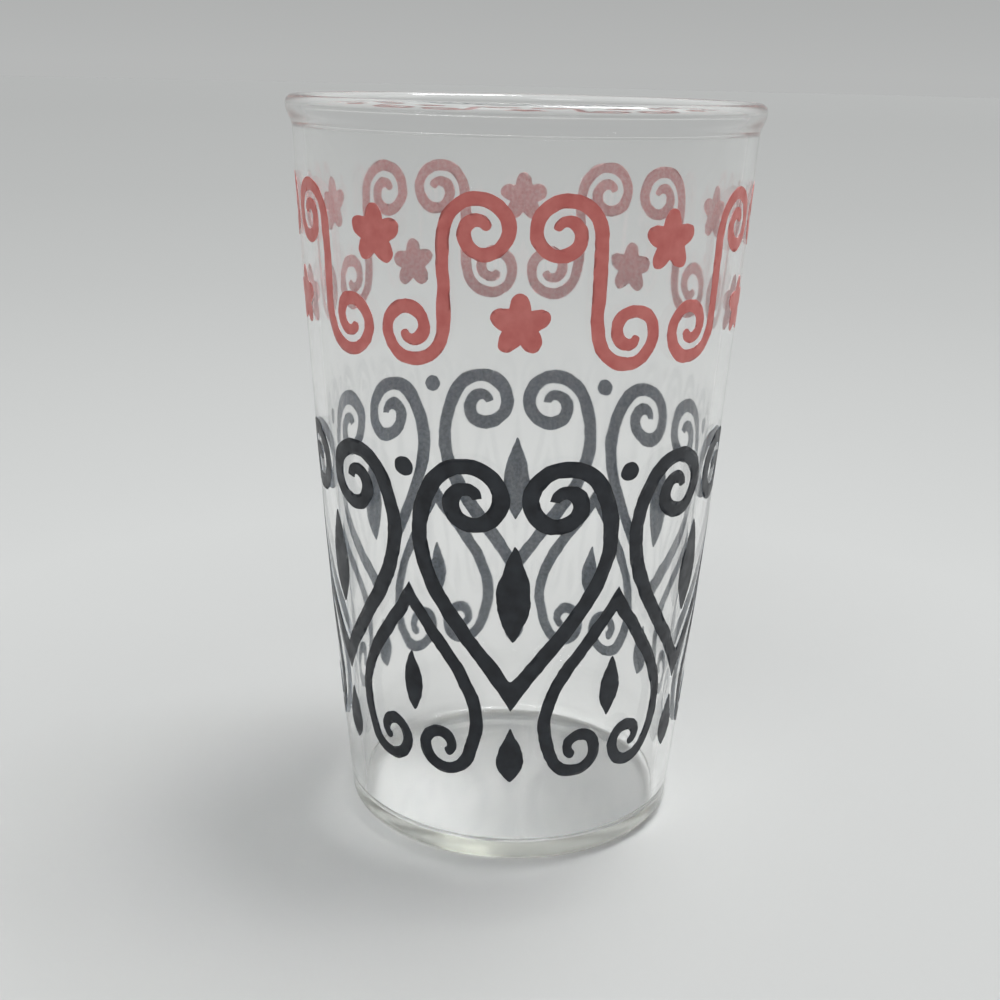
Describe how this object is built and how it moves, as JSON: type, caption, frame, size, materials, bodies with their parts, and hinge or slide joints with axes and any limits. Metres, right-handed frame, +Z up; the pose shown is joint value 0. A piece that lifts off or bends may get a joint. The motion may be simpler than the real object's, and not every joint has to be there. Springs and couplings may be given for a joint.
{
  "type": "juice glass",
  "caption": "Small tapered drinking tumbler of clear glass with a beaded rim, printed outside with a coral scroll frieze above a black heart-scroll frieze in fired enamel.",
  "frame": {"origin": "centre of the foot ring, on the plane that the glass stands on", "axes": "+Z up along the glass's axis to the rim; -Y is the front, where a heart is centred"},
  "size_m": [0.0598, 0.0598, 0.095],
  "materials": {
    "clear_glass": "fire-polished",
    "coral_enamel": "satin fired enamel",
    "black_enamel": "satin fired enamel"
  },
  "bodies": {
    "root": {"tumbler": "clear_glass", "coral_scroll_1": "coral_enamel", "coral_scroll_2": "coral_enamel", "coral_scroll_3": "coral_enamel", "coral_scroll_4": "coral_enamel", "coral_scroll_5": "coral_enamel", "coral_scroll_6": "coral_enamel", "coral_scroll_7": "coral_enamel", "coral_scroll_8": "coral_enamel", "coral_scroll_9": "coral_enamel", "coral_scroll_10": "coral_enamel", "coral_blossom_1": "coral_enamel", "coral_blossom_2": "coral_enamel", "coral_blossom_3": "coral_enamel", "coral_blossom_4": "coral_enamel", "coral_blossom_5": "coral_enamel", "coral_blossom_6": "coral_enamel", "coral_blossom_7": "coral_enamel", "coral_blossom_8": "coral_enamel", "coral_blossom_9": "coral_enamel", "coral_blossom_10": "coral_enamel", "black_heart_1": "black_enamel", "black_heart_2": "black_enamel", "black_heart_3": "black_enamel", "black_heart_4": "black_enamel", "black_heart_5": "black_enamel", "black_heart_6": "black_enamel", "black_heart_leaf_1": "black_enamel", "black_heart_leaf_2": "black_enamel", "black_heart_leaf_3": "black_enamel", "black_heart_leaf_4": "black_enamel", "black_heart_leaf_5": "black_enamel", "black_heart_leaf_6": "black_enamel", "black_drop_1": "black_enamel", "black_drop_2": "black_enamel", "black_drop_3": "black_enamel", "black_drop_4": "black_enamel", "black_drop_5": "black_enamel", "black_drop_6": "black_enamel", "black_pearl_1": "black_enamel", "black_pearl_2": "black_enamel", "black_pearl_3": "black_enamel", "black_pearl_4": "black_enamel", "black_pearl_5": "black_enamel", "black_pearl_6": "black_enamel", "black_small_heart_1": "black_enamel", "black_small_heart_2": "black_enamel", "black_small_heart_3": "black_enamel", "black_small_heart_4": "black_enamel", "black_small_heart_5": "black_enamel", "black_small_heart_6": "black_enamel", "black_small_leaf_1": "black_enamel", "black_small_leaf_2": "black_enamel", "black_small_leaf_3": "black_enamel", "black_small_leaf_4": "black_enamel", "black_small_leaf_5": "black_enamel", "black_small_leaf_6": "black_enamel"}
  },
  "joints": []
}
